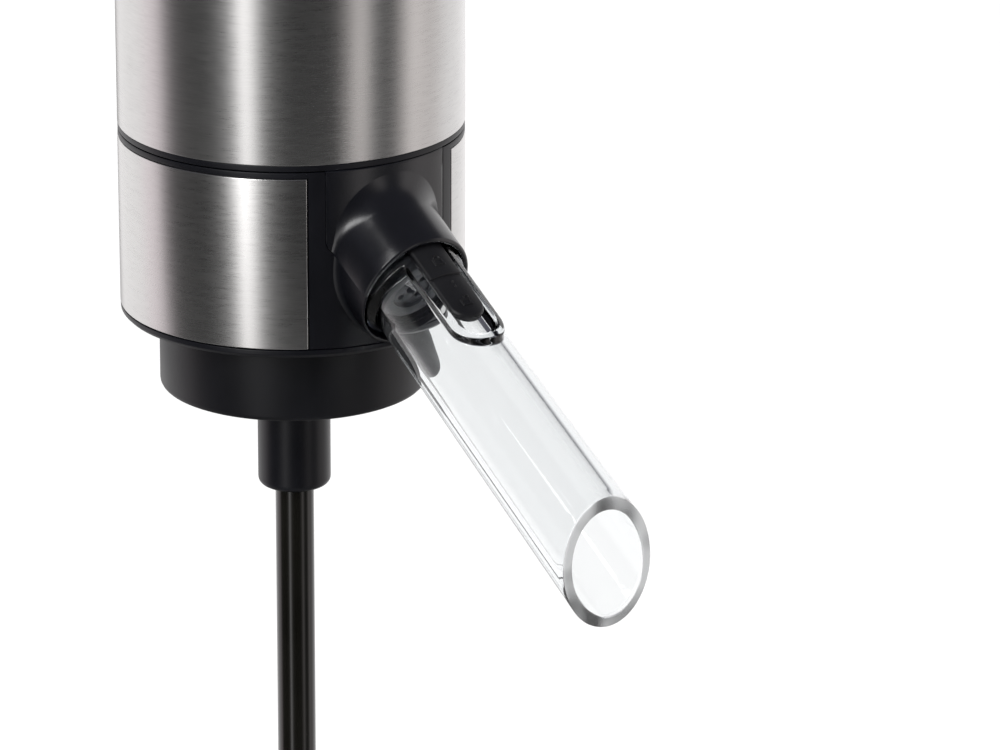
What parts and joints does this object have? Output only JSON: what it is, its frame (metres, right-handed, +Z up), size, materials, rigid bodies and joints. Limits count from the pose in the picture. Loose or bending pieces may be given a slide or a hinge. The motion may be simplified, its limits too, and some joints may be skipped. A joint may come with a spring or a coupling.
{
  "type": "electric wine aerator",
  "caption": "Electric wine aerator that stands in a bottle's neck: steel cylinder with battery pump, black nose with angled clear spout and lock tab, collar, stopper and dip tube.",
  "frame": {"origin": "centre of the plane where the bottle's lip seats, on the axis of the silicone stopper", "axes": "+Z up along the body axis, -Y towards the spout, +X completes the right-handed frame; the part is symmetric about X = 0 apart from small inner parts"},
  "size_m": [0.0532, 0.1058, 0.2844],
  "materials": {
    "black_plastic": "satin fine-textured ABS",
    "collar_plastic": "matte ABS",
    "gloss_black": "gloss ABS",
    "brushed_steel": "fine circumferential brushing",
    "clear_plastic": "clear polished acrylic",
    "tab_plastic": "satin, embossed pictograms",
    "silicone_black": "matte food-grade silicone",
    "silicone_clear": "translucent silicone",
    "inner_plastic": "moulded dark grey ABS",
    "white_plastic": "natural moulded POM",
    "diaphragm_rubber": "moulded EPDM",
    "zinc_steel": "zinc-plated screw",
    "motor_steel": "drawn and plated can",
    "magnet": "sintered ferrite",
    "rotor": "laminations with enamelled wire",
    "cell": "printed sleeve, plain two-tone",
    "contact": "nickel-plated spring steel",
    "lead": "PVC insulated wire",
    "board": "green solder mask",
    "dip_tube": "smoked polypropylene tube"
  },
  "bodies": {
    "base": {"stopper_stem": "black_plastic", "stopper_sleeve": "silicone_black", "neck_gasket": "silicone_black", "bottle_collar": "collar_plastic", "base_plate": "black_plastic", "base_screws": "zinc_steel", "lower_housing": "black_plastic", "front_panel": "black_plastic", "steel_wrap": "brushed_steel", "manifold": "inner_plastic", "nozzle_oring": "diaphragm_rubber", "aerator_jet": "inner_plastic", "air_check_valve": "silicone_clear", "air_hose": "silicone_clear", "chassis": "inner_plastic", "chassis_screws": "zinc_steel", "pump_cap": "white_plastic", "pump_valve_plate": "white_plastic", "pump_diaphragm": "diaphragm_rubber", "pump_frame": "white_plastic", "motor_can": "motor_steel", "motor_magnets": "magnet", "motor_end_cap": "white_plastic", "motor_damper": "diaphragm_rubber", "battery_carrier": "inner_plastic", "battery_cells": "cell", "contact_springs": "contact", "contact_plates": "contact", "motor_leads": "lead", "circuit_board": "board", "push_switch": "inner_plastic", "dip_tube_outer": "dip_tube"},
    "cover": {"cover_liner": "black_plastic", "steel_sleeve": "brushed_steel", "top_cap": "gloss_black", "button_guide": "inner_plastic", "button_spring": "contact"},
    "button": {"power_button": "black_plastic", "button_disc": "brushed_steel"},
    "plunger": {"switch_plunger": "white_plastic"},
    "crank": {"crank_collar": "white_plastic", "motor_shaft": "zinc_steel", "motor_rotor": "rotor"},
    "wobble": {"wobble_plate": "white_plastic"},
    "spout": {"spout": "clear_plastic"},
    "lock_tab": {"lock_tab": "tab_plastic"},
    "inner_tube": {"dip_tube_inner": "dip_tube", "dip_tube_tip": "tab_plastic"}
  },
  "joints": [
    {"name": "cover_lift", "type": "slide", "parent": "base", "child": "cover", "axis": [0, 0, 1], "range_m": [0, 0.1]},
    {"name": "button_press", "type": "slide", "parent": "cover", "child": "button", "axis": [0, 0, -1], "range_m": [0, 0.0012], "stiffness_N_per_m": 1500, "springref_m": -0.0008, "deforming": ["button_spring"]},
    {"name": "plunger_press", "type": "slide", "parent": "base", "child": "plunger", "axis": [0, 0, -1], "range_m": [0, 0.0012]},
    {"name": "crank_spin", "type": "hinge", "parent": "base", "child": "crank", "pos_m": [0, 0, 0.07], "axis": [0, 0, 1], "continuous": true},
    {"name": "wobble_rock", "type": "hinge", "parent": "base", "child": "wobble", "pos_m": [0, 0, 0.0484], "axis": [1, 0, 0], "range_deg": [-3, 3], "stiffness_Nm_per_rad": 0.05},
    {"name": "spout_pull", "type": "slide", "parent": "base", "child": "spout", "axis": [0, -0.8517, -0.524], "range_m": [0, 0.03]},
    {"name": "lock_slide", "type": "slide", "parent": "spout", "child": "lock_tab", "axis": [0, -0.8517, -0.524], "range_m": [0, 0.0025]},
    {"name": "tube_extend", "type": "slide", "parent": "base", "child": "inner_tube", "axis": [0, 0, -1], "range_m": [0, 0.11]}
  ],
  "couplings": [
    {"joint": "plunger_press", "follows": "button_press", "ratio": 1}
  ]
}
